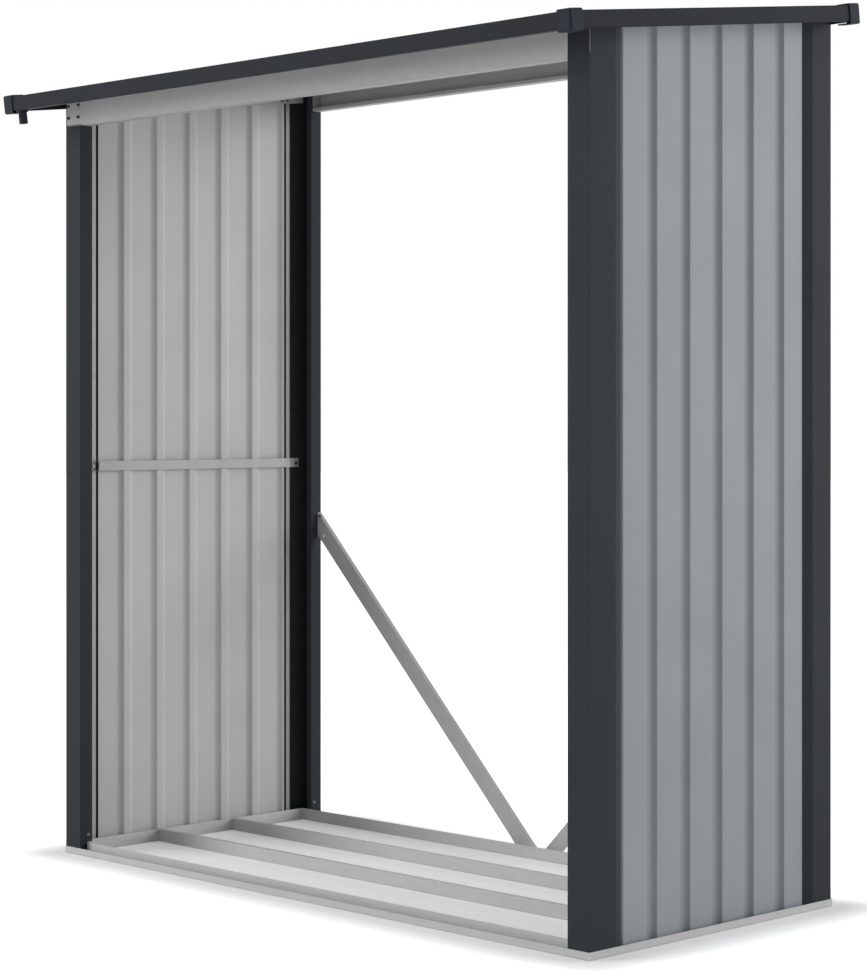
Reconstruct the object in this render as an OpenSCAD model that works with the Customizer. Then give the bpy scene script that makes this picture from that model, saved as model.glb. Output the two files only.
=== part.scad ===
// Open log store of folded steel sheet: a floor frame of tray rails, two ribbed side walls between
// corner posts, and a lean-to roof that rises to the back and drains into a gutter along the front.
// The front looks along -Y, the width runs along X, and the ground is at Z = 0. Millimetres.

/* [Floor frame] */
// Width of the floor frame along the front
floor_w = 1665; // [1200:5:2400]
// Depth of the floor frame from front to back
floor_d = 763; // [600:1:1200]
// Height of the outer lip of the floor rails
lip_h = 16; // [10:1:24]
// Height of the inner upright of the floor rails, and of the joists
rail_h = 29; // [20:1:45]
// Width of the front rail, from its lip to its upright
front_tray = 22; // [15:1:40]
// Width of the left and right rails
side_tray = 28; // [26:1:45]
// Width of the back rail
back_tray = 40; // [20:1:60]
// Width of the flanges of a joist
joist_flange = 14; // [8:1:25]

/* [Posts] */
// Distance from the outer edge of the floor frame to the posts
post_set = 1.4; // [1.4:0.1:4]
// Width of the face of a post that looks to the front or back
post_face = 56; // [45:1:90]
// Depth of the face of a front post that looks to the side
post_side = 75.5; // [50:0.5:110]
// Depth of the face of a back post that looks to the side
back_post_side = 64; // [50:0.5:75]
// Depth of the return on the inner edge of a post
post_return = 35; // [15:1:45]
// Width of the hem along the return of a post, turned back into the post
post_hem = 15; // [8:1:15]
// Length of the slanted lip of a post, along the wall
post_lip_run = 23.5; // [15:0.5:35]
// How far the slanted lip of a post leans in towards the wall sheet
post_lip_in = 8; // [5:0.5:9]

/* [Walls] */
// Distance between the grooves of a wall sheet
rib_pitch = 100.8; // [70:0.1:160]
// Width of a groove at its mouth
rib_w = 36; // [26:1:38]
// Width of the slanted flank of a groove
rib_flank = 9; // [4:0.5:10]
// Depth of a groove
rib_depth = 9; // [5:0.5:10]
// Distance of the middle groove from the middle of the wall
rib_shift = 12; // [-30:0.1:30]
// Flat left at the edge of a ribbed sheet where a rib beside it is made narrower
rib_edge = 1; // [0.5:0.5:5]
// Overlap of a back post's slanted lip on the edge of the wall sheet
wall_lap = 1; // [0.5:0.5:8]
// Gap between the edge of the wall sheet and the edge strip beside it
edge_gap = 7; // [3:0.5:9]
// Width of an edge strip
strip_w = 13; // [8:0.5:16]
// Height of the underside of the middle rail of a wall
mid_rail_z = 902; // [400:1:1300]
// Height of the middle rail of a wall
mid_rail_h = 23; // [15:1:40]
// Depth of the middle rail of a wall
mid_rail_d = 4; // [3:0.1:20]
// Length of the flat tabs on the ends of the middle rail
mid_rail_tab = 48; // [25:1:48]
// Length over which the middle rail bends out to its tabs
mid_rail_bend = 8; // [6:1:15]
// Width of metal above and below the slot in that bend
bend_edge = 1.5; // [1:0.5:5]
// Height of the sloping top rail of a wall
top_rail_h = 30; // [20:1:50]
// Width of the flange of the sloping top rail
top_rail_flange = 20; // [10:1:20]

/* [Beams] */
// Height of the front and back beams
beam_h = 58; // [40:1:90]
// Depth of the flanges of the beams
beam_d = 28; // [15:1:32]
// Size of the slanted edge along the bottom of the beams
beam_bevel = 4; // [2:0.5:8]
// Height of the lip on the inner edge of the lower flange of the beams
beam_lip = 8; // [4:0.5:15]
// Width of the slot in the front right post that shows the end of the beam
beam_slot_w = 3.5; // [3:0.5:10]
// Distance from the ends of that slot to the bottom and top of the beam
beam_slot_end = 6; // [4:1:15]

/* [Braces] */
// Width of the web of a brace
brace_w = 40.5; // [25:0.5:50]
// Width of the flange along the upper edge of a brace
brace_flange = 12.5; // [6:0.5:12.5]
// Slope of the braces, in degrees
brace_slope = 45.3; // [35:0.1:60]
// Gap between the lower ends of the two braces
brace_gap = 4; // [2:1:200]
// Height of the upright cut at the lower end of a brace
brace_foot = 4; // [2:0.5:10]
// Distance from the outer edge of the back rail to the front of the braces
brace_set = 14; // [14:0.5:18]

/* [Roof] */
// Overhang of the roof beyond the floor frame at each side
roof_side = 66; // [35:1:120]
// Slope of the roof, in degrees
roof_slope = 7.1; // [4:0.1:12]
// Overhang of the top front edge of the roof beyond the floor frame
roof_front = 127; // [60:1:250]
// Overhang of the top back edge of the roof beyond the floor frame
roof_back = -0.9; // [-1:0.1:60]
// Height of the top front edge of the roof
roof_front_z = 1780; // [1500:5:2200]
// Height of the fascias
fascia_h = 33.5; // [28:0.5:60]
// Width of the lip along the top of the fascias
fascia_lip = 12; // [6:1:20]
// Width of the fold along the bottom of the side fascias
fascia_fold = 12; // [6:1:16]
// Width of the fold along the bottom of the back fascia
back_fold = 4; // [2:0.5:5]
// Width of the shelf of the side fascias, which carries the roof sheets
fascia_shelf = 13; // [6:1:14]
// Distance from the top of the fascias down to the underside of the roof sheets
sheet_drop = 22; // [18:0.5:25]
// Depth of the gutter from front to back
gutter_d = 30; // [26:1:31]
// Distance from the front of the gutter to the lower ends of the roof sheets
eaves_gap = 14; // [13:1:20]
// Height of the ribs of the roof sheets
roof_rib_h = 10; // [5:0.5:15]
// Number of ribs of each of the three roof sheets
sheet_ribs = 6; // [3:1:6]
// Overlap of the middle roof sheet on its neighbours
sheet_lap = 30; // [15:1:32]
// Length over which the middle roof sheet steps up over its neighbours
lap_bend = 3; // [2:0.5:6]

/* [Corner caps] */
// Length of a corner cap along each fascia
cap_leg = 32; // [32:1:45]
// Wall of a corner cap
cap_t = 3; // [2:0.5:5]
// Height of a corner cap above the fascias
cap_over = 4; // [2:0.5:8]
// Depth of a corner cap below the fascias
cap_drop = 6; // [4:0.5:12]

/* [Drain] */
// Distance from the left end of the gutter to the middle of the spout
spout_in = 45.5; // [45.5:0.5:400]
// Radius of the spout
spout_r = 10; // [6:0.5:11]
// Radius of the bore through the spout
spout_bore_r = 8; // [4:0.5:9]
// Length of the spout with its collar
spout_l = 32; // [20:1:60]
// Radius of the hole in the gutter over the spout
drain_hole_r = 9; // [5:0.5:11]
// Radius of the collar of the spout
collar_r = 13; // [11.5:0.5:13]
// Height of the collar of the spout
collar_h = 5; // [3:0.5:10]

/* [Sheet metal] */
// Thickness of the posts, rails, beams and fascias
frame_t = 1.2; // [0.8:0.1:1.5]
// Thickness of the wall and roof sheets
sheet_t = 1; // [0.6:0.1:1.2]
// Clearance between pieces that lie against each other
fit = 0.2; // [0.1:0.05:0.3]

/* [Hidden] */
$fn = 64;
anthracite = "#3a3d41";
galvanised = "#aeb0b0";
wall_grey = "#a3a8ac";
plastic = "#2b2e31";

// Width of the roof over its fascias, its length along the slope, and a size that covers all of it
roof_w = floor_w + 2 * roof_side;
roof_l = (roof_front + floor_d + roof_back) / cos(roof_slope);
roof_cover = roof_w + roof_l;

// Reach of the corner caps before the front and behind the back of the floor frame
reach_front = roof_front + cap_t * cos(roof_slope) + cap_over * sin(roof_slope);
reach_back = (roof_l + cap_t) * cos(roof_slope) + (fascia_h + cap_drop) * sin(roof_slope)
    - roof_front - floor_d;
overall_d = reach_front + floor_d + max(0, reach_back);

// Front, back and middle of the floor frame, with the whole store centred on Y = 0
front_y = reach_front - overall_d / 2;
back_y = front_y + floor_d;
mid_y = front_y + floor_d / 2;
roof_y = front_y - roof_front;
roof_top_z = roof_front_z + roof_l * sin(roof_slope) + cap_over;

// Depths of the wall's layers, measured in from the outer edge of the floor frame
wall_in = post_set + post_lip_in + frame_t + fit;
wall_face = wall_in + sheet_t;
rib_face = wall_face + rib_depth;
mid_rail_face = rib_face + fit + mid_rail_d;

// Edge of the wall sheet and start of the edge strip, measured in from the front or back edge
wall_edge = post_set + back_post_side + post_lip_run - wall_lap;
strip_edge = wall_edge - edge_gap - strip_w;
wall_half = floor_d / 2 - wall_edge;

// Beams: outer face from the front or back edge, and underside at each end of the roof
beam_in = post_set + frame_t + fit;
beam_front_y = front_y + beam_in;
beam_back_y = back_y - beam_in;
beam_front_z = bearing_z(beam_front_y) - beam_h;
beam_back_z = bearing_z(beam_back_y) - beam_h;

// Inner face of the posts beside the open front and back
bay_half = floor_w / 2 - post_set - post_face;

// Roof sheets: half width of all three between the fascias, half width of one, and pitch of their ribs
sheets_half = roof_w / 2 - frame_t - fit;
sheet_split = sheets_half / 3;
sheet_pitch = 2 * sheet_split / sheet_ribs;

// Sections of the back and side fascias, measured in from their outer faces and down from their tops
back_fascia_line = [
    [fascia_lip, 0],
    [0, 0],
    [0, -fascia_h],
    [back_fold, -fascia_h]
];
side_fascia_line = [
    [fascia_lip, 0],
    [0, 0],
    [0, -fascia_h],
    [fascia_fold, -fascia_h],
    [fascia_fold, -sheet_drop - frame_t],
    [fascia_fold + fascia_shelf, -sheet_drop - frame_t]
];

// Height of the plane under the roof sheets, less the clearance, at the distance y from the middle
function bearing_z(y) =
    roof_front_z + (y - roof_y) * tan(roof_slope) - (sheet_drop + fit) / cos(roof_slope);

// Unit vector to the left of the way from a to b
function left_of(a, b) = let (d = (b - a) / norm(b - a)) [-d.y, d.x];

// Point i of the line p, moved by t to the left with the corners kept sharp
function moved(p, i, t) =
    let (before = left_of(p[max(i - 1, 0)], p[max(i, 1)]))
    let (after = left_of(p[min(i, len(p) - 2)], p[min(i + 1, len(p) - 1)]))
    p[i] + t * (before + after) / (1 + before * after);

// Section of a folded sheet: p is one face of it and the other lies t to the left
module folded(p, t) {
    back = [for (i = [len(p) - 1 : -1 : 0]) moved(p, i, t)];
    polygon(concat(p, back));
}

// A section drawn across X (as Y, Z) or across Y (as X, Z), run from one place to another
module along_x(from, to) {
    translate([from, 0, 0]) rotate([90, 0, 90]) linear_extrude(to - from) children();
}

module along_y(from, to) {
    translate([0, to, 0]) rotate([90, 0, 0]) linear_extrude(to - from) children();
}

// Corner of the floor frame: X and Y then run inwards from its outer edges
module at_corner(side, end) {
    translate([side * floor_w / 2, mid_y + end * floor_d / 2, 0])
        mirror([side > 0 ? 1 : 0, 0, 0])
            mirror([0, end > 0 ? 1 : 0, 0])
                children();
}

// Side of the floor frame: X is then minus the depth from its outer edge and Y runs along the wall
module at_side(side) {
    translate([0, mid_y, 0])
        rotate([0, 0, side > 0 ? 0 : 180])
            translate([floor_w / 2, 0, 0])
                children();
}

// Frame of the roof: its top front edge is at Y = 0 and Z = 0, and Y runs up the slope
module on_roof() {
    translate([0, roof_y, roof_front_z]) rotate([roof_slope, 0, 0]) children();
}

// Cuts what reaches above the underside of the roof sheets
module under_roof() {
    difference() {
        children();
        on_roof()
            translate([0, 0, -sheet_drop - fit])
                linear_extrude(roof_cover)
                    square(2 * roof_cover, center = true);
    }
}

// Tray rail with mitred ends, from the origin along X, with its lip on the outside
module tray_rail(length, tray, start_tray, end_tray) {
    section = [[0, lip_h], [0, 0], [tray, 0], [tray, rail_h]];
    plan = [[0, 0], [length, 0], [length - end_tray, tray], [start_tray, tray]];
    color(galvanised) intersection() {
        along_x(0, length) folded(section, frame_t);
        linear_extrude(rail_h) polygon(plan);
    }
}

module floor_rail_front() {
    translate([-floor_w / 2, front_y, 0]) tray_rail(floor_w, front_tray, side_tray, side_tray);
}

module floor_rail_back() {
    translate([floor_w / 2, back_y, 0]) rotate(180) tray_rail(floor_w, back_tray, side_tray, side_tray);
}

module floor_rail_left() {
    translate([-floor_w / 2, back_y, 0]) rotate(-90) tray_rail(floor_d, side_tray, back_tray, front_tray);
}

module floor_rail_right() {
    translate([floor_w / 2, front_y, 0]) rotate(90) tray_rail(floor_d, side_tray, front_tray, back_tray);
}

// Joist of channel section that divides the floor into three bays, counted from the front
module floor_joist(bay) {
    half = floor_w / 2 - side_tray - fit;
    bays_y = front_y + front_tray;
    bay_d = (floor_d - front_tray - back_tray) / 3;
    section = [[joist_flange, rail_h], [0, rail_h], [0, 0], [joist_flange, 0]];
    color(galvanised)
        translate([0, bays_y + bay * bay_d, 0])
            along_x(-half, half)
                folded(section, frame_t);
}

module floor_joist_front() {
    floor_joist(1);
}

module floor_joist_back() {
    floor_joist(2);
}

// Depth of the side face of the posts at the front or at the back
function side_depth(end) = end > 0 ? back_post_side : post_side;

// Post of one folded sheet, from its slanted lip round to the hem of its return. It stands in the tray
// rails and its return clears the upright below. The children are cut out of it.
module post(side, end, tray) {
    side_end = post_set + side_depth(end);
    return_x = post_set + post_face;
    section = [
        [post_set + post_lip_in, side_end + post_lip_run],
        [post_set, side_end],
        [post_set, post_set],
        [return_x, post_set],
        [return_x, post_set + post_return],
        [return_x - post_hem, post_set + post_return]
    ];
    color(anthracite) under_roof() at_corner(side, end) difference() {
        translate([0, 0, frame_t]) linear_extrude(roof_top_z) folded(section, frame_t);
        translate([return_x - post_hem, tray - frame_t - fit, 0])
            cube([post_face, post_return, rail_h + fit]);
        children();
    }
}

// Room for the end of the front beam in a front post, from the depth y in from the front edge
module beam_room(y) {
    end_y = post_set + max(post_return, frame_t + fit + beam_d) + fit;
    translate([post_set + frame_t, y, beam_front_z - fit]) cube([post_face, end_y - y, roof_top_z]);
}

// The beam runs out over the face of the left post
module post_front_left() {
    post(-1, -1, front_tray) beam_room(0);
}

// The beam ends behind the face of the right post, and a slot in its side shows it
module post_front_right() {
    post(1, -1, front_tray) {
        beam_room(post_set + frame_t);
        translate([0, post_set + frame_t, beam_front_z + beam_slot_end])
            cube([post_set + frame_t, beam_slot_w, beam_h - 2 * beam_slot_end]);
    }
}

module post_back_left() {
    post(-1, 1, back_tray);
}

module post_back_right() {
    post(1, 1, back_tray);
}

// Line of a ribbed sheet from one edge to the other, as [along, depth]. One of its ribs is at the place
// named first. A rib that would cross an edge is made narrower.
function ribbed(from, to, pitch, first, depth) =
    let (n = ceil((to - from) / pitch))
    let (centres = [for (k = [-n : n]) first + k * pitch])
    let (crest = rib_w / 2 - rib_flank)
    let (margin = rib_flank + rib_edge)
    let (crests = [for (c = centres) [max(c - crest, from + margin), min(c + crest, to - margin)]])
    let (kept = [for (c = crests) if (c[1] - c[0] > rib_edge) c])
    concat([[from, 0]], [for (c = kept) for (q = rib_line(c[0], c[1], depth)) q], [[to, 0]]);

// Line of one rib whose crest runs from a to b
function rib_line(a, b, depth) = [[a - rib_flank, 0], [a, depth], [b, depth], [b + rib_flank, 0]];

// Ribbed wall sheet. The left one is the right one turned half round.
module wall_sheet(side) {
    ribs = ribbed(-wall_half, wall_half, rib_pitch, rib_shift, rib_depth);
    line = [for (q = ribs) [-wall_in - q.y, q.x]];
    color(wall_grey) under_roof() at_side(side)
        translate([0, 0, frame_t]) linear_extrude(roof_top_z) folded(line, sheet_t);
}

module wall_sheet_left() {
    wall_sheet(-1);
}

module wall_sheet_right() {
    wall_sheet(1);
}

// Angle strip beside the edge of a wall sheet, standing on the side of the post or on its slanted lip
module edge_strip(side, end) {
    on_lip = max(0, strip_edge + frame_t - post_set - side_depth(end)) * post_lip_in / post_lip_run;
    section = [
        [post_set + frame_t + fit + on_lip, strip_edge],
        [wall_face, strip_edge],
        [wall_face, strip_edge + strip_w]
    ];
    color(galvanised) under_roof() at_corner(side, end)
        translate([0, 0, frame_t]) linear_extrude(roof_top_z) folded(section, frame_t);
}

module edge_strip_front_left() {
    edge_strip(-1, -1);
}

module edge_strip_front_right() {
    edge_strip(1, -1);
}

module edge_strip_back_left() {
    edge_strip(-1, 1);
}

module edge_strip_back_right() {
    edge_strip(1, 1);
}

// Channel across the inside of a wall, against its ribs. Beside the wall sheet its web bends out to flat
// tabs, which lie over the edge strips, and each bend has a slot.
module wall_mid_rail(side) {
    web_y = wall_half + edge_gap;
    bend_y = web_y + mid_rail_bend;
    tab_y = wall_half + mid_rail_tab;
    tab_x = -wall_face - fit;
    web_x = frame_t - mid_rail_face;
    line = [
        [tab_x, -tab_y],
        [tab_x, -bend_y],
        [web_x, -web_y],
        [web_x, web_y],
        [tab_x, bend_y],
        [tab_x, tab_y]
    ];
    color(galvanised) at_side(side) translate([0, 0, mid_rail_z]) difference() {
        union() {
            linear_extrude(mid_rail_h) folded(line, frame_t);
            for (z = [0, mid_rail_h - frame_t])
                translate([-mid_rail_face, -web_y, z]) cube([mid_rail_d, 2 * web_y, frame_t]);
        }
        for (y = [-bend_y, web_y])
            translate([-mid_rail_face, y, bend_edge])
                cube([mid_rail_face, mid_rail_bend, mid_rail_h - 2 * bend_edge]);
    }
}

module wall_mid_rail_left() {
    wall_mid_rail(-1);
}

module wall_mid_rail_right() {
    wall_mid_rail(1);
}

// Angle along the top of a wall, inside its ribs, between the beams, carrying the roof sheets
module wall_top_rail(side) {
    web_x = rib_face + fit - floor_w / 2;
    section = [
        [web_x + top_rail_flange, -sheet_drop],
        [web_x, -sheet_drop],
        [web_x, -sheet_drop - top_rail_h]
    ];
    front_end = beam_front_y + beam_d + fit - roof_y - sheet_drop * sin(roof_slope);
    back_end = beam_back_y - beam_d - fit - roof_y - (sheet_drop + top_rail_h) * sin(roof_slope);
    color(galvanised) on_roof() mirror([side > 0 ? 1 : 0, 0, 0])
        along_y(front_end / cos(roof_slope), back_end / cos(roof_slope))
            folded(section, frame_t);
}

module wall_top_rail_left() {
    wall_top_rail(-1);
}

module wall_top_rail_right() {
    wall_top_rail(1);
}

// Channel beam with a slanted lower edge and closed ends. Inwards is 1 at the front, -1 at the back.
module beam(half, face_y, bottom_z, inwards) {
    inner_y = face_y + inwards * beam_d;
    section = [
        [inner_y, bearing_z(inner_y)],
        [face_y, bearing_z(face_y)],
        [face_y, bottom_z + beam_bevel],
        [face_y + inwards * beam_bevel, bottom_z],
        [inner_y, bottom_z],
        [inner_y, bottom_z + beam_lip]
    ];
    color(galvanised) {
        along_x(-half, half) folded(section, inwards * frame_t);
        along_x(-half, frame_t - half) polygon(section);
        along_x(half - frame_t, half) polygon(section);
    }
}

module beam_front() {
    beam(floor_w / 2 - beam_in, beam_front_y, beam_front_z, 1);
}

// The back beam fits between the posts
module beam_back() {
    beam(bay_half - fit, beam_back_y, beam_back_z, -1);
}

// Angle brace from the tray of the back rail up to the return of a back post
module brace(side) {
    end_x = bay_half - fit;
    rise = tan(brace_slope);
    foot_x = brace_gap / 2;
    web_run = brace_w / sin(brace_slope);
    flange_run = frame_t / sin(brace_slope);
    foot_z = frame_t + brace_foot;
    end_z = foot_z + (end_x - foot_x) * rise;
    web = [
        [foot_x, foot_z],
        [foot_x, frame_t],
        [foot_x + web_run - brace_foot / rise, frame_t],
        [end_x, end_z - web_run * rise],
        [end_x, end_z]
    ];
    flange = [
        [foot_x, foot_z],
        [foot_x, foot_z - flange_run * rise],
        [end_x, end_z - flange_run * rise],
        [end_x, end_z]
    ];
    color(galvanised) mirror([side > 0 ? 0 : 1, 0, 0]) {
        along_y(back_y - brace_set, back_y - brace_set + frame_t) polygon(web);
        along_y(back_y - brace_set, back_y - brace_set + brace_flange) polygon(flange);
    }
}

module brace_left() {
    brace(-1);
}

module brace_right() {
    brace(1);
}

// Ribs of a roof sheet, spaced evenly over the whole roof
function roof_ribs(from, to) = ribbed(from, to, sheet_pitch, sheet_pitch / 2 - sheet_split, roof_rib_h);

// Ribbed roof sheet whose underside follows the line, from the gutter up to the back fascia
module roof_sheet(line) {
    lifted = [for (q = line) [q.x, q.y - sheet_drop]];
    color(anthracite) on_roof() along_y(eaves_gap, roof_l - frame_t - fit) folded(lifted, sheet_t);
}

module roof_sheet_left() {
    roof_sheet(roof_ribs(-sheets_half, -sheet_split));
}

module roof_sheet_right() {
    roof_sheet(roof_ribs(sheet_split, sheets_half));
}

// The edges of the middle sheet step up over the edges of its neighbours
module roof_sheet_middle() {
    step = sheet_t + fit;
    rise = sheet_split - fit;
    flat = rise - lap_bend;
    edge = sheet_split + sheet_lap;
    ribs = roof_ribs(-flat, flat);
    roof_sheet(concat([[-edge, step], [-rise, step]], ribs, [[rise, step], [edge, step]]));
}

// Gutter along the front edge of the roof, with a hole over the spout
module gutter_front() {
    section = [[fascia_lip, 0], [0, 0], [0, -fascia_h], [gutter_d, -fascia_h], [gutter_d, -sheet_drop]];
    color(anthracite) on_roof() difference() {
        along_x(-roof_w / 2, roof_w / 2) folded(section, frame_t);
        at_spout() cylinder(r = drain_hole_r, h = 2 * collar_h, center = true);
    }
}

// Fascia along the back of the roof. The roof sheets end at its web.
module fascia_back() {
    color(anthracite) on_roof() translate([0, roof_l, 0]) mirror([0, 1, 0])
        along_x(-roof_w / 2, roof_w / 2) folded(back_fascia_line, frame_t);
}

// Fascia along a side of the roof, between the gutter and the lip of the back fascia
module fascia_side(side) {
    color(anthracite) on_roof() mirror([side > 0 ? 1 : 0, 0, 0]) translate([-roof_w / 2, 0, 0])
        along_y(gutter_d + fit, roof_l - fascia_lip - fit) folded(side_fascia_line, frame_t);
}

module fascia_left() {
    fascia_side(-1);
}

module fascia_right() {
    fascia_side(1);
}

// Plastic cap round a corner of the roof, open towards the roof
module corner_cap(side, end) {
    size = cap_leg + cap_t;
    bottom = -fascia_h - cap_drop;
    color(plastic) on_roof() translate([side * roof_w / 2, end > 0 ? roof_l : 0, 0])
        mirror([side > 0 ? 1 : 0, 0, 0]) mirror([0, end > 0 ? 1 : 0, 0]) difference() {
            translate([-cap_t, -cap_t, bottom]) cube([size, size, cap_over - bottom]);
            translate([-fit, -fit, bottom + cap_t]) cube([size, size, fit - bottom - cap_t]);
        }
}

module corner_cap_front_left() {
    corner_cap(-1, -1);
}

module corner_cap_front_right() {
    corner_cap(1, -1);
}

module corner_cap_back_left() {
    corner_cap(-1, 1);
}

module corner_cap_back_right() {
    corner_cap(1, 1);
}

// Place of the spout under the gutter, in the frame of the roof, with Z up through the gutter
module at_spout() {
    translate([spout_in - roof_w / 2, gutter_d / 2, -fascia_h]) children();
}

// Short drain tube with a collar against the underside of the gutter
module drain_spout() {
    color(plastic) on_roof() at_spout() translate([0, 0, -spout_l]) difference() {
        union() {
            cylinder(r = spout_r, h = spout_l);
            translate([0, 0, spout_l - collar_h]) cylinder(r = collar_r, h = collar_h);
        }
        cylinder(r = spout_bore_r, h = spout_l);
    }
}

floor_rail_front();
floor_rail_back();
floor_rail_left();
floor_rail_right();
floor_joist_front();
floor_joist_back();
post_front_left();
post_front_right();
post_back_left();
post_back_right();
wall_sheet_left();
wall_sheet_right();
edge_strip_front_left();
edge_strip_front_right();
edge_strip_back_left();
edge_strip_back_right();
wall_mid_rail_left();
wall_mid_rail_right();
wall_top_rail_left();
wall_top_rail_right();
beam_front();
beam_back();
brace_left();
brace_right();
roof_sheet_left();
roof_sheet_middle();
roof_sheet_right();
gutter_front();
fascia_back();
fascia_left();
fascia_right();
corner_cap_front_left();
corner_cap_front_right();
corner_cap_back_left();
corner_cap_back_right();
drain_spout();
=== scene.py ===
from math import cos, radians, sin

import bmesh
import bpy
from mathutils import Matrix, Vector


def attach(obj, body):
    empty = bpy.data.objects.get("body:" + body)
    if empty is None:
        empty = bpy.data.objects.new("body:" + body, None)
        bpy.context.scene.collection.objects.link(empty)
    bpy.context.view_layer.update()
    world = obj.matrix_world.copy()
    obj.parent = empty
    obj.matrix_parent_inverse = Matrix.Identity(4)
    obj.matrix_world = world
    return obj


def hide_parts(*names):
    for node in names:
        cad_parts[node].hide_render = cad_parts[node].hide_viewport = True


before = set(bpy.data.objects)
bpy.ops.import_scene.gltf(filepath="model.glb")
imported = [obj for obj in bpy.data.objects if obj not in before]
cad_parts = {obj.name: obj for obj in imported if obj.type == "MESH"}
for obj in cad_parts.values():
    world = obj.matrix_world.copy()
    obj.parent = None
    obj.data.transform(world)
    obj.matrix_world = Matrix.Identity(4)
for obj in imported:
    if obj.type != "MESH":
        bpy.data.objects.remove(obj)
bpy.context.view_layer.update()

scene = bpy.context.scene


# Floor frame: four tray rails mitred at the corners, and two joists across the bay between them.
# Hot-dip galvanised sheet with a faint spangle, pressed to shape on a brake and screwed together
# through the trays at the corners.
def galvanised_sheet(name, colour):
    """Zinc: a faint spangle of flat crystals, broad clouding and a fine drawn grain."""
    material = bpy.data.materials.new(name)
    material.use_nodes = True
    nodes, links = material.node_tree.nodes, material.node_tree.links
    shader = nodes["Principled BSDF"]
    place = nodes.new("ShaderNodeTexCoord")
    spangle = nodes.new("ShaderNodeTexVoronoi")
    spangle.inputs["Scale"].default_value = 90
    clouds = nodes.new("ShaderNodeTexNoise")
    clouds.inputs["Scale"].default_value = 5
    clouds.inputs["Detail"].default_value = 4
    grain = nodes.new("ShaderNodeTexNoise")
    grain.inputs["Scale"].default_value = 260
    drawn = nodes.new("ShaderNodeMapping")
    drawn.inputs["Scale"].default_value = (0.07, 0.07, 1)
    links.new(place.outputs["Object"], drawn.inputs["Vector"])
    links.new(drawn.outputs["Vector"], grain.inputs["Vector"])
    for texture in (spangle, clouds):
        links.new(place.outputs["Object"], texture.inputs["Vector"])
    crystal = nodes.new("ShaderNodeSeparateColor")
    links.new(spangle.outputs["Color"], crystal.inputs["Color"])
    patches = nodes.new("ShaderNodeMix")
    patches.data_type = "FLOAT"
    patches.inputs["Factor"].default_value = 0.7
    links.new(crystal.outputs["Red"], patches.inputs["A"])
    links.new(clouds.outputs["Fac"], patches.inputs["B"])
    tone = nodes.new("ShaderNodeMix")
    tone.data_type = "FLOAT"
    tone.inputs["Factor"].default_value = 0.5
    links.new(patches.outputs["Result"], tone.inputs["A"])
    links.new(grain.outputs["Fac"], tone.inputs["B"])
    shade = nodes.new("ShaderNodeValToRGB")
    shade.color_ramp.elements[0].position = 0.25
    shade.color_ramp.elements[0].color = (*[c * 0.94 for c in colour], 1)
    shade.color_ramp.elements[1].position = 0.75
    shade.color_ramp.elements[1].color = (*[c * 1.06 for c in colour], 1)
    links.new(tone.outputs["Result"], shade.inputs["Fac"])
    links.new(shade.outputs["Color"], shader.inputs["Base Color"])
    gloss = nodes.new("ShaderNodeMapRange")
    gloss.inputs["To Min"].default_value = 0.48
    gloss.inputs["To Max"].default_value = 0.6
    links.new(crystal.outputs["Green"], gloss.inputs["Value"])
    links.new(gloss.outputs["Result"], shader.inputs["Roughness"])
    bump = nodes.new("ShaderNodeBump")
    bump.inputs["Strength"].default_value = 0.04
    bump.inputs["Distance"].default_value = 0.0005
    links.new(grain.outputs["Fac"], bump.inputs["Height"])
    links.new(bump.outputs["Normal"], shader.inputs["Normal"])
    shader.inputs["Metallic"].default_value = 0.1
    shader.inputs["Specular IOR Level"].default_value = 0.2
    return material


def bent_sheet(node, finishes, fold=0.0022, inner_fold=0.001, chosen=None, mirrored_from=None):
    """Stands for a folded CAD sheet: the same sheet with round folds, of one size on the outside of a
    bend and another on the inside. The cut edges, no wider than the sheet is thick, stay sharp.
    Chosen picks the finish of each face. A sheet mirrored from another node has that one's shape."""
    cut_edge_width = 0.0016
    least_bend = radians(5)
    face_share = 0.45
    weld = 1e-5
    widest = max(fold, inner_fold)
    sheet = bmesh.new()
    sheet.from_mesh(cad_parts[mirrored_from or node].data)
    bmesh.ops.remove_doubles(sheet, verts=sheet.verts, dist=weld)
    if mirrored_from:
        bmesh.ops.scale(sheet, vec=(-1, 1, 1), verts=sheet.verts)
        bmesh.ops.recalc_face_normals(sheet, faces=sheet.faces)
    bmesh.ops.dissolve_limit(sheet, angle_limit=radians(1), verts=sheet.verts, edges=sheet.edges)
    weight = sheet.edges.layers.float.new("bevel_weight_edge")
    for edge in sheet.edges:
        room = min(2 * face.calc_area() / face.calc_perimeter() for face in edge.link_faces)
        if room > cut_edge_width and edge.calc_face_angle() > least_bend:
            edge[weight] = min(fold if edge.is_convex else inner_fold, face_share * room) / widest
    mesh = bpy.data.meshes.new(node + "_bent")
    sheet.to_mesh(mesh)
    sheet.free()
    piece = bpy.data.objects.new(node + "_bent", mesh)
    scene.collection.objects.link(piece)
    bends = piece.modifiers.new("bends", "BEVEL")
    bends.limit_method = "WEIGHT"
    bends.width = widest
    bends.segments = 4
    bends.harden_normals = True
    finished = bpy.data.meshes.new_from_object(piece.evaluated_get(bpy.context.evaluated_depsgraph_get()))
    piece.modifiers.clear()
    piece.data = finished
    finished.name = node + "_bent"
    finished.materials.clear()
    for finish in finishes:
        finished.materials.append(finish)
    if chosen:
        for face in finished.polygons:
            face.material_index = chosen(face)
    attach(piece, "root")
    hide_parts(node)


# The floor frame's zinc is paler than the same zinc in the fittings and beams: painted light, for the
# light the white floor throws up onto the rails.
floor_zinc_painted_light = galvanised_sheet("floor_zinc_painted_light", (0.55, 0.55, 0.546))
for node in ("floor_rail_front", "floor_rail_back", "floor_rail_left", "floor_rail_right",
             "floor_joist_front", "floor_joist_back"):
    bent_sheet(node, [floor_zinc_painted_light])


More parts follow.
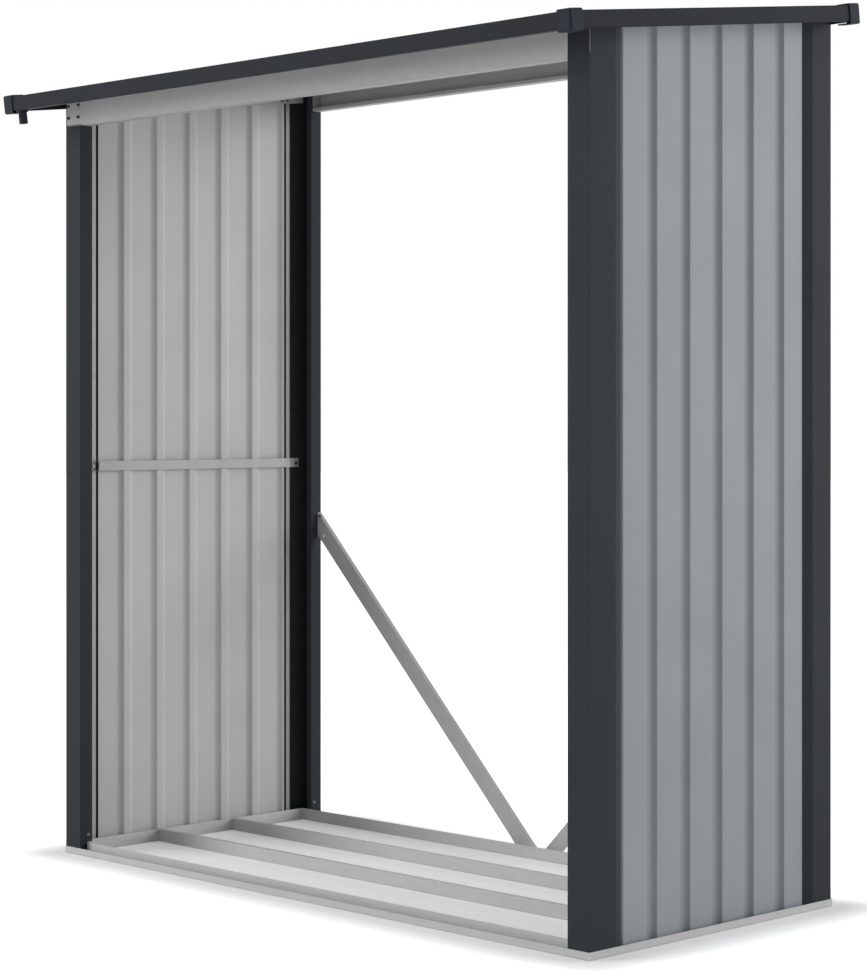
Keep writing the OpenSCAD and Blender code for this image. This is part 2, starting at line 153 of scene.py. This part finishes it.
# Corner posts: each one sheet folded round from a slanted lip that laps the wall to a return beside
# the open bay. Steel with an anthracite powder coat, fine in grain, put on after the folding.
def powder_coat(name, colour, rough, shine):
    """Baked powder: an orange-peel bump, a slight drift of tone and of gloss."""
    material = bpy.data.materials.new(name)
    material.use_nodes = True
    nodes, links = material.node_tree.nodes, material.node_tree.links
    shader = nodes["Principled BSDF"]
    place = nodes.new("ShaderNodeTexCoord")
    peel = nodes.new("ShaderNodeTexNoise")
    peel.inputs["Scale"].default_value = 900
    peel.inputs["Detail"].default_value = 2
    drift = nodes.new("ShaderNodeTexNoise")
    drift.inputs["Scale"].default_value = 3.5
    drift.inputs["Detail"].default_value = 5
    for texture in (peel, drift):
        links.new(place.outputs["Object"], texture.inputs["Vector"])
    shade = nodes.new("ShaderNodeValToRGB")
    shade.color_ramp.elements[0].position = 0.3
    shade.color_ramp.elements[0].color = (*[c * 0.94 for c in colour], 1)
    shade.color_ramp.elements[1].position = 0.7
    shade.color_ramp.elements[1].color = (*[c * 1.06 for c in colour], 1)
    links.new(drift.outputs["Fac"], shade.inputs["Fac"])
    links.new(shade.outputs["Color"], shader.inputs["Base Color"])
    gloss = nodes.new("ShaderNodeMapRange")
    gloss.inputs["To Min"].default_value = rough - 0.05
    gloss.inputs["To Max"].default_value = rough + 0.05
    links.new(drift.outputs["Fac"], gloss.inputs["Value"])
    links.new(gloss.outputs["Result"], shader.inputs["Roughness"])
    bump = nodes.new("ShaderNodeBump")
    bump.inputs["Strength"].default_value = 0.06
    bump.inputs["Distance"].default_value = 0.0004
    links.new(peel.outputs["Fac"], bump.inputs["Height"])
    links.new(bump.outputs["Normal"], shader.inputs["Normal"])
    shader.inputs["Specular IOR Level"].default_value = shine
    return material


anthracite = powder_coat("anthracite_powder_coat", (0.0395, 0.0458, 0.0512), 0.5, 0.03)
for node in ("post_front_left", "post_front_right", "post_back_left", "post_back_right"):
    bent_sheet(node, [anthracite])


# Side walls: one ribbed sheet each, roll-formed from thin coil-coated steel. The weather side is a
# quartz grey and the inside has the paler back coat of the coil. The posts' lips clamp the edges.
weather_side = powder_coat("wall_weather_side", (0.318, 0.348, 0.372), 0.45, 0.15)
back_coat = powder_coat("wall_back_coat", (0.56, 0.56, 0.56), 0.55, 0.2)
for side, node in ((-1, "wall_sheet_left"), (1, "wall_sheet_right")):
    bent_sheet(
        node, [weather_side, back_coat], fold=0.001, inner_fold=0.006,
        chosen=lambda face: 1 if face.normal.x * side < -0.05 else 0,
    )


# Wall fittings: angle strips beside the edges of each sheet, a channel across its inside half way up,
# and a sloping angle along its top. All are galvanised, and screwed to the posts and beams.
fitting_zinc = galvanised_sheet("fitting_zinc", (0.42, 0.42, 0.42))
for side in ("left", "right"):
    for node in ("edge_strip_front_", "edge_strip_back_", "wall_mid_rail_", "wall_top_rail_"):
        bent_sheet(node + side, [fitting_zinc])


# Beams and braces: a channel beam over the front and the back, and two angles that cross the back from
# the posts down to the middle of the floor rail. Galvanised, screwed at their ends.
beam_zinc = galvanised_sheet("beam_zinc", (0.47, 0.47, 0.47))
for node in ("beam_front", "beam_back", "brace_left", "brace_right"):
    bent_sheet(node, [beam_zinc])


# Roof: three ribbed sheets side by side, the middle one lapped over the others, anthracite above with the
# pale back coat of the coil below. The right sheet is the mirror of the left one. Round them is a ring of
# folded fascias, with the gutter in front.
for node, twin in (
    ("roof_sheet_left", None), ("roof_sheet_middle", None), ("roof_sheet_right", "roof_sheet_left"),
):
    bent_sheet(
        node, [anthracite, back_coat], mirrored_from=twin,
        chosen=lambda face: 1 if face.normal.z < -0.05 else 0,
    )
# The fascias and gutter get a darker, less shiny copy of the anthracite coat of the posts and roof:
# painted shade, holding them down where the light falls on them more strongly.
ring_coat_painted_shade = powder_coat("ring_powder_coat_painted_shade", (0.0365, 0.0392, 0.0462), 0.5, 0.02)
for node in ("gutter_front", "fascia_back", "fascia_left", "fascia_right"):
    bent_sheet(node, [ring_coat_painted_shade])


# Corner caps and drain spout: injection-moulded black plastic with rounded edges and a fine spark
# texture. The caps push over the corners of the fascias, and the spout through the gutter's floor.
moulded = powder_coat("black_moulded_plastic", (0.029, 0.0355, 0.045), 0.55, 0.05)
for corner in ("front_left", "front_right", "back_left", "back_right"):
    bent_sheet("corner_cap_" + corner, [moulded], fold=0.0045)
bent_sheet("drain_spout", [moulded], fold=0.0006)


# Screws: small hex heads pressed in one piece with their washers, driven home at any angle. They are dull
# zinc at the feet of the posts, bright or dark in the mid rails and the braces, and dark in the top rails,
# the front beam and the roof. The bright ones are paler than zinc, a painted glint; the dark ones are a
# dark coat, with painted shade on the front beam, the mid rails and the braces.
screw_tree = bpy.data.node_groups.new("screws", "GeometryNodeTree")
screw_tree.interface.new_socket("Places", in_out="INPUT", socket_type="NodeSocketGeometry")
for label, kind in (
    ("Head Radius", "NodeSocketFloat"),
    ("Washer Radius", "NodeSocketFloat"),
    ("Seed", "NodeSocketInt"),
    ("Finish", "NodeSocketMaterial"),
):
    screw_tree.interface.new_socket(label, in_out="INPUT", socket_type=kind)
screw_tree.interface.new_socket("Screws", in_out="OUTPUT", socket_type="NodeSocketGeometry")
screw_nodes, screw_links = screw_tree.nodes, screw_tree.links
given = screw_nodes.new("NodeGroupInput")
made = screw_nodes.new("NodeGroupOutput")
one_screw = screw_nodes.new("GeometryNodeJoinGeometry")
for radius, sides, height, taper in (
    ("Head Radius", 6, 0.0052, 0.92),
    ("Washer Radius", 24, 0.0016, 0.8),
):
    top = screw_nodes.new("ShaderNodeMath")
    top.operation = "MULTIPLY"
    top.inputs[1].default_value = taper
    screw_links.new(given.outputs[radius], top.inputs[0])
    turned = screw_nodes.new("GeometryNodeMeshCone")
    turned.inputs["Vertices"].default_value = sides
    turned.inputs["Depth"].default_value = height
    screw_links.new(given.outputs[radius], turned.inputs["Radius Bottom"])
    screw_links.new(top.outputs[0], turned.inputs["Radius Top"])
    screw_links.new(turned.outputs["Mesh"], one_screw.inputs[0])
facing = screw_nodes.new("GeometryNodeInputNamedAttribute")
facing.data_type = "FLOAT_VECTOR"
facing.inputs["Name"].default_value = "facing"
upright = screw_nodes.new("FunctionNodeAlignRotationToVector")
upright.axis = "Z"
screw_links.new(facing.outputs["Attribute"], upright.inputs["Vector"])
angle = screw_nodes.new("FunctionNodeRandomValue")
angle.inputs[3].default_value = radians(360)
screw_links.new(given.outputs["Seed"], angle.inputs["Seed"])
spin = screw_nodes.new("FunctionNodeAxisAngleToRotation")
spin.inputs["Axis"].default_value = (0, 0, 1)
screw_links.new(angle.outputs[1], spin.inputs["Angle"])
driven = screw_nodes.new("FunctionNodeRotateRotation")
driven.rotation_space = "LOCAL"
screw_links.new(upright.outputs["Rotation"], driven.inputs["Rotation"])
screw_links.new(spin.outputs["Rotation"], driven.inputs["Rotate By"])
set_out = screw_nodes.new("GeometryNodeInstanceOnPoints")
screw_links.new(given.outputs["Places"], set_out.inputs["Points"])
screw_links.new(one_screw.outputs["Geometry"], set_out.inputs["Instance"])
screw_links.new(driven.outputs["Rotation"], set_out.inputs["Rotation"])
real = screw_nodes.new("GeometryNodeRealizeInstances")
coated = screw_nodes.new("GeometryNodeSetMaterial")
screw_links.new(set_out.outputs["Instances"], real.inputs["Geometry"])
screw_links.new(real.outputs["Geometry"], coated.inputs["Geometry"])
screw_links.new(given.outputs["Finish"], coated.inputs["Material"])
screw_links.new(coated.outputs["Geometry"], made.inputs["Screws"])


def screws(name, finish, washer, seed, places):
    """One object with a screw at each place, given as a point in millimetres and the way it faces."""
    points = bpy.data.meshes.new(name)
    points.from_pydata([Vector(point) / 1000 for point, way in places], [], [])
    ways = points.attributes.new("facing", "FLOAT_VECTOR", "POINT")
    for way, (point, toward) in zip(ways.data, places):
        way.vector = toward
    piece = bpy.data.objects.new(name, points)
    scene.collection.objects.link(piece)
    setting = piece.modifiers.new("screws", "NODES")
    setting.node_group = screw_tree
    head = 0.66 * washer
    values = {"Head Radius": head, "Washer Radius": washer, "Seed": seed, "Finish": finish}
    for socket in screw_tree.interface.items_tree:
        if socket.name in values:
            setting[socket.identifier] = values[socket.name]
    finished = bpy.data.meshes.new_from_object(piece.evaluated_get(bpy.context.evaluated_depsgraph_get()))
    piece.modifiers.clear()
    piece.data = finished
    finished.name = name
    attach(piece, "root")


dull_zinc = galvanised_sheet("dull_zinc", (0.23, 0.235, 0.24))
# The dark screws: a dark coat on the roof, and painted shade on the front beam, on one screw of each mid
# rail and on the braces' upper screws.
dark_coat_and_painted_shade = powder_coat("dark_screw_coat_and_painted_shade", (0.044, 0.048, 0.053), 0.42, 0.2)
# Paler than any zinc: a painted glint, on one screw of each mid rail and on the braces' lower screws.
zinc_painted_glint = galvanised_sheet("zinc_painted_glint", (0.8, 0.8, 0.8))
dull_places, glint_places, dark_places = [], [], []
to_front = (0, -1, 0)
post_return_x, mid_rail_x, top_rail_x = 775.1, 819.3, 810.3
wall_middle_y, brace_y, front_beam_y = 61.8, 429.256, -316.9
post_foot_z = 46.5
for side in (-1, 1):
    inwards = (-side, 0, 0)
    dull_places += [((side * post_return_x, y, post_foot_z), inwards) for y in (-295.9, 415.7)]
    glint_places.append(((side * mid_rail_x, wall_middle_y + side * 310.5, 913), inwards))
    glint_places.append(((side * 750.4, brace_y, 726.2), to_front))
    dark_places.append(((side * mid_rail_x, wall_middle_y - side * 332, 912), inwards))
    dark_places += [((side * top_rail_x, y, z), inwards) for y, z in ((337.9, 1834.7), (357.1, 1837.7))]
    dark_places.append(((side * 765.7, brace_y, 776.8), to_front))
dark_places += [
    ((x, front_beam_y, z), to_front)
    for x, z in ((-822, 1735.9), (-783.5, 1735.9), (-822, 1763.6), (-783, 1764.5))
]
roof_slope = radians(7.1)
up_slope = Vector((0, cos(roof_slope), sin(roof_slope)))
off_slope = Vector((0, -sin(roof_slope), cos(roof_slope)))
eaves_y, eaves_z = -446.744, 1780
roof_rib_pitch, crest_drop = 99.68, 11
over_front_beam, over_back_beam = 140, 872
for along in (over_front_beam, over_back_beam):
    for rib in range(-9, 9):
        eaves = Vector(((rib + 0.5) * roof_rib_pitch, eaves_y, eaves_z))
        dark_places.append((eaves + up_slope * along - off_slope * crest_drop, off_slope))
screws("screws_dull", dull_zinc, 0.0045, 3, dull_places)
screws("screws_painted_glint", zinc_painted_glint, 0.0045, 4, glint_places)
screws("screws_dark_coat_and_painted_shade", dark_coat_and_painted_shade, 0.0042, 5, dark_places)


# Floor and background of the picture: a plain white sweep. Away from the floor frame it looks white to
# the camera and in reflections, without lighting the object, and near it keeps the object's shadow.
bpy.ops.mesh.primitive_plane_add(size=60, location=(0, 0, -0.0004))
sweep = bpy.context.object
sweep.name = "sweep"
paper = bpy.data.materials.new("paper")
paper.use_nodes = True
paper_nodes, paper_links = paper.node_tree.nodes, paper.node_tree.links
paper_coat = paper_nodes["Principled BSDF"]
paper_coat.inputs["Base Color"].default_value = (0.9, 0.9, 0.9, 1)
paper_coat.inputs["Roughness"].default_value = 1
paper_coat.inputs["Specular IOR Level"].default_value = 0
paper_place = paper_nodes.new("ShaderNodeTexCoord")
paper_from = paper_place.outputs["Object"]
floor_frame_middle, floor_frame_half = (0, 0.062, 0), (0.83, 0.38, 0)
for step, amount in (
    ("SUBTRACT", floor_frame_middle),
    ("ABSOLUTE", None),
    ("SUBTRACT", floor_frame_half),
    ("MAXIMUM", (0, 0, 0)),
):
    paper_step = paper_nodes.new("ShaderNodeVectorMath")
    paper_step.operation = step
    paper_links.new(paper_from, paper_step.inputs[0])
    if amount:
        paper_step.inputs[1].default_value = amount
    paper_from = paper_step.outputs["Vector"]
paper_away = paper_nodes.new("ShaderNodeVectorMath")
paper_away.operation = "LENGTH"
paper_links.new(paper_from, paper_away.inputs[0])
shadow_reach, white_under_frame = 0.22, 0.19
paper_white = paper_nodes.new("ShaderNodeMapRange")
paper_white.interpolation_type = "SMOOTHSTEP"
paper_white.inputs["From Max"].default_value = shadow_reach
paper_white.inputs["To Min"].default_value = white_under_frame
paper_links.new(paper_away.outputs["Value"], paper_white.inputs["Value"])


def seen_directly(nodes, links):
    """1 for the rays by which the camera sees a surface, straight or in a reflection, else 0."""
    path = nodes.new("ShaderNodeLightPath")
    seen = path.outputs["Is Camera Ray"]
    for ray in ("Is Glossy Ray", "Is Transmission Ray"):
        either = nodes.new("ShaderNodeMath")
        either.operation = "MAXIMUM"
        links.new(seen, either.inputs[0])
        links.new(path.outputs[ray], either.inputs[1])
        seen = either.outputs[0]
    return seen


paper_strength = paper_nodes.new("ShaderNodeMath")
paper_strength.operation = "MULTIPLY"
paper_links.new(seen_directly(paper_nodes, paper_links), paper_strength.inputs[0])
paper_links.new(paper_white.outputs["Result"], paper_strength.inputs[1])
paper_glow = paper_nodes.new("ShaderNodeEmission")
paper_links.new(paper_strength.outputs[0], paper_glow.inputs["Strength"])
paper_sum = paper_nodes.new("ShaderNodeAddShader")
paper_links.new(paper_coat.outputs["BSDF"], paper_sum.inputs[0])
paper_links.new(paper_glow.outputs["Emission"], paper_sum.inputs[1])
paper_links.new(paper_sum.outputs["Shader"], paper_nodes["Material Output"].inputs["Surface"])
sweep.data.materials.append(paper)

# Studio walls: an even, dim fill on the object from all round. The walls themselves look white where they
# are seen past the object or mirrored in it.
world = bpy.data.worlds.new("studio")
scene.world = world
world.use_nodes = True
sky_nodes, sky_links = world.node_tree.nodes, world.node_tree.links
fill_light = sky_nodes["Background"]
fill_light.inputs["Color"].default_value = (1, 1, 1, 1)
fill_light.inputs["Strength"].default_value = 0.32
white_wall = sky_nodes.new("ShaderNodeBackground")
white_wall.inputs["Color"].default_value = (1, 1, 1, 1)
white_wall.inputs["Strength"].default_value = 1
sky_mix = sky_nodes.new("ShaderNodeMixShader")
sky_links.new(seen_directly(sky_nodes, sky_links), sky_mix.inputs["Fac"])
sky_links.new(fill_light.outputs["Background"], sky_mix.inputs[1])
sky_links.new(white_wall.outputs["Background"], sky_mix.inputs[2])
sky_links.new(sky_mix.outputs["Shader"], sky_nodes["World Output"].inputs["Surface"])

# Soft boxes: a broad one behind the right wall, which grazes it and shines in through the open back, and
# one off the front left corner for the faces that look to the front.
lamps_aim = Vector((0, 0, 0.9))
for name, place, width, height, power in (
    ("back_box", (5.9, 6.4, 2.4), 9, 4.6, 450),
    ("front_box", (-5.0, -7.4, 3.9), 6, 6, 510),
):
    lamp = bpy.data.lights.new(name, "AREA")
    lamp.shape = "RECTANGLE"
    lamp.size = width
    lamp.size_y = height
    lamp.energy = power
    box = bpy.data.objects.new(name, lamp)
    box.location = place
    box.rotation_euler = (lamps_aim - Vector(place)).to_track_quat("-Z", "Y").to_euler()
    scene.collection.objects.link(box)

# Camera: off the front right corner, level and about a metre up, with the lens shifted down so that the
# posts stay upright in the picture.
eye = bpy.data.cameras.new("eye")
eye.sensor_width = 36
eye.lens = 92.29
eye.shift_y = -0.0761
camera = bpy.data.objects.new("eye", eye)
camera.location = (4.01985, -3.86208, 1.03386)
camera.rotation_euler = (radians(90), 0, radians(45.53))
scene.collection.objects.link(camera)
scene.camera = camera
scene.view_settings.view_transform = "Standard"
